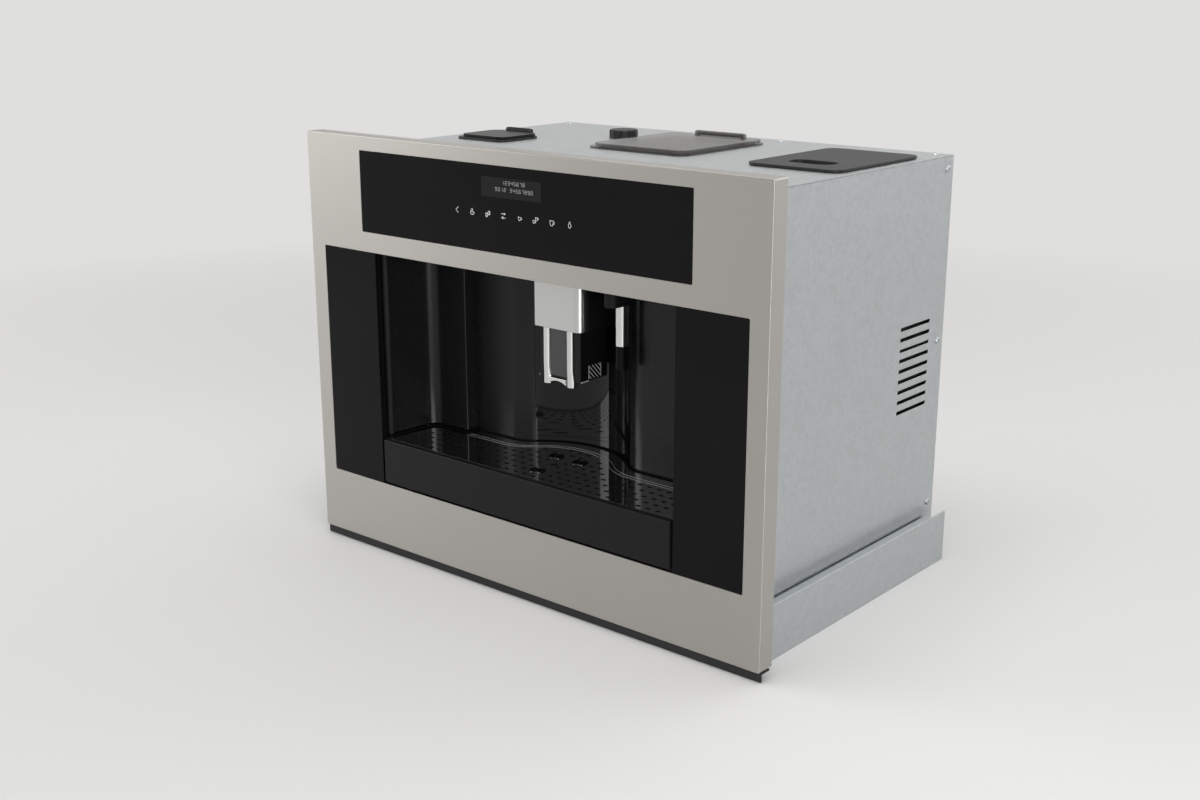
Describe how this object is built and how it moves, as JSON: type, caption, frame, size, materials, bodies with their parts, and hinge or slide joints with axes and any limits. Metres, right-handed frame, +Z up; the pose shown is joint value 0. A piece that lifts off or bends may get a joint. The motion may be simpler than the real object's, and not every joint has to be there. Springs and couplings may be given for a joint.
{
  "type": "built in coffee machine",
  "caption": "Built-in coffee machine: steel and black glass front, recessed bay with height-adjustable spout, hot-water wand and drip tray, casing on pull-out runners.",
  "frame": {"origin": "middle of the footprint, on the niche floor", "axes": "+X to the right seen from the front, +Y from the front into the niche, +Z up"},
  "size_m": [0.595, 0.3866, 0.455],
  "materials": {
    "brushed_steel": "fine brushed stainless steel, warm grey",
    "satin_chrome": "satin chrome",
    "zinc_sheet": "galvanised sheet steel with a fine spangle",
    "cast_aluminium": "cast",
    "black_glass": "opaque black back-printed glass, polished",
    "gloss_black": "gloss black",
    "matt_black": "satin to matt black moulding",
    "charcoal": "satin charcoal",
    "grey_plastic": "moulded grey",
    "red_plastic": "moulded red",
    "circuit_board": "solder resist green",
    "smoked_clear": "smoked transparent",
    "water_clear": "clear, faintly tinted"
  },
  "bodies": {
    "niche_base": {"mounting_base": "zinc_sheet", "outer_rail_left": "zinc_sheet", "outer_rail_right": "zinc_sheet"},
    "middle_rails": {"middle_rail_left": "zinc_sheet", "middle_rail_right": "zinc_sheet"},
    "machine": {"front_frame": "brushed_steel", "lower_trim": "matt_black", "front_carrier": "matt_black", "control_glass": "black_glass", "touch_board": "circuit_board", "display_module": "grey_plastic", "side_glass_left": "black_glass", "side_glass_right": "black_glass", "bay_liner": "matt_black", "cup_panel": "gloss_black", "tray_bay": "matt_black", "spout_shell": "satin_chrome", "spout_head": "matt_black", "wand_socket": "matt_black", "door_pin": "zinc_sheet", "service_bay": "grey_plastic", "grounds_container": "charcoal", "brew_frame": "charcoal", "brew_chamber": "grey_plastic", "base_pan": "zinc_sheet", "side_cover_left": "zinc_sheet", "side_cover_right": "zinc_sheet", "rear_panel": "zinc_sheet", "top_cover": "zinc_sheet", "inner_frame": "zinc_sheet", "bean_hopper": "smoked_clear", "grinder": "charcoal", "powder_funnel": "matt_black", "tank_seat": "matt_black", "pump": "charcoal", "boiler": "cast_aluminium", "mains_board": "circuit_board", "inlet_module": "matt_black", "inner_rail_left": "zinc_sheet", "inner_rail_right": "zinc_sheet"},
    "service_door": {"service_door": "matt_black"},
    "spout_carriage": {"spout_carriage": "gloss_black", "spout_tube_left": "satin_chrome", "spout_tube_right": "satin_chrome", "spout_bridge": "satin_chrome"},
    "wand": {"wand_arm": "matt_black", "wand_sleeve": "satin_chrome", "wand_tip": "matt_black"},
    "drip_tray": {"tray_front": "charcoal", "tray_basin": "matt_black"},
    "drip_grid": {"drip_grid": "gloss_black"},
    "tray_float": {"tray_float": "red_plastic"},
    "water_tank": {"water_tank": "water_clear", "tank_lid": "matt_black"},
    "bean_lid": {"bean_lid": "smoked_clear"},
    "powder_lid": {"powder_lid": "charcoal"},
    "grind_knob": {"grind_knob": "matt_black"},
    "mains_rocker": {"mains_rocker": "gloss_black"},
    "brew_piston": {"brew_piston": "matt_black"}
  },
  "joints": [
    {"name": "machine_slide", "type": "slide", "parent": "niche_base", "child": "machine", "axis": [0, -1, 0], "range_m": [0, 0.3]},
    {"name": "middle_rail_slide", "type": "slide", "parent": "niche_base", "child": "middle_rails", "axis": [0, -1, 0], "range_m": [0, 0.15]},
    {"name": "service_door_hinge", "type": "hinge", "parent": "machine", "child": "service_door", "pos_m": [-0.1987, -0.17668, 0.235], "axis": [0, 0, -1], "range_deg": [0, 100]},
    {"name": "spout_height", "type": "slide", "parent": "machine", "child": "spout_carriage", "axis": [0, 0, 1], "range_m": [-0.012, 0.045]},
    {"name": "wand_swing", "type": "hinge", "parent": "machine", "child": "wand", "pos_m": [0.0727, -0.12828, 0.3135], "axis": [0, 0, -1], "range_deg": [0, 120]},
    {"name": "tray_slide", "type": "slide", "parent": "machine", "child": "drip_tray", "axis": [0, -1, 0], "range_m": [0, 0.15]},
    {"name": "grid_lift", "type": "slide", "parent": "drip_tray", "child": "drip_grid", "axis": [0, 0, 1], "range_m": [0, 0.05]},
    {"name": "float_rise", "type": "slide", "parent": "drip_tray", "child": "tray_float", "axis": [0, 0, 1], "range_m": [0, 0.01]},
    {"name": "tank_lift", "type": "slide", "parent": "machine", "child": "water_tank", "axis": [0, 0, 1], "range_m": [0, 0.185]},
    {"name": "bean_lid_hinge", "type": "hinge", "parent": "machine", "child": "bean_lid", "pos_m": [0, 0.14522, 0.4438], "axis": [-1, 0, 0], "range_deg": [0, 100]},
    {"name": "powder_lid_hinge", "type": "hinge", "parent": "machine", "child": "powder_lid", "pos_m": [-0.2, 0.03422, 0.4438], "axis": [-1, 0, 0], "range_deg": [0, 100]},
    {"name": "grind_knob_turn", "type": "hinge", "parent": "machine", "child": "grind_knob", "pos_m": [-0.096, 0.09372, 0.44], "axis": [0, 0, 1], "range_deg": [-90, 90]},
    {"name": "mains_rocker_tilt", "type": "hinge", "parent": "machine", "child": "mains_rocker", "pos_m": [-0.212, 0.18562, 0.084], "axis": [-1, 0, 0], "range_deg": [0, 18]},
    {"name": "brew_piston_travel", "type": "slide", "parent": "machine", "child": "brew_piston", "axis": [0, 0, -1], "range_m": [0, 0.026]}
  ],
  "couplings": [
    {"joint": "middle_rail_slide", "follows": "machine_slide", "ratio": 0.5}
  ]
}
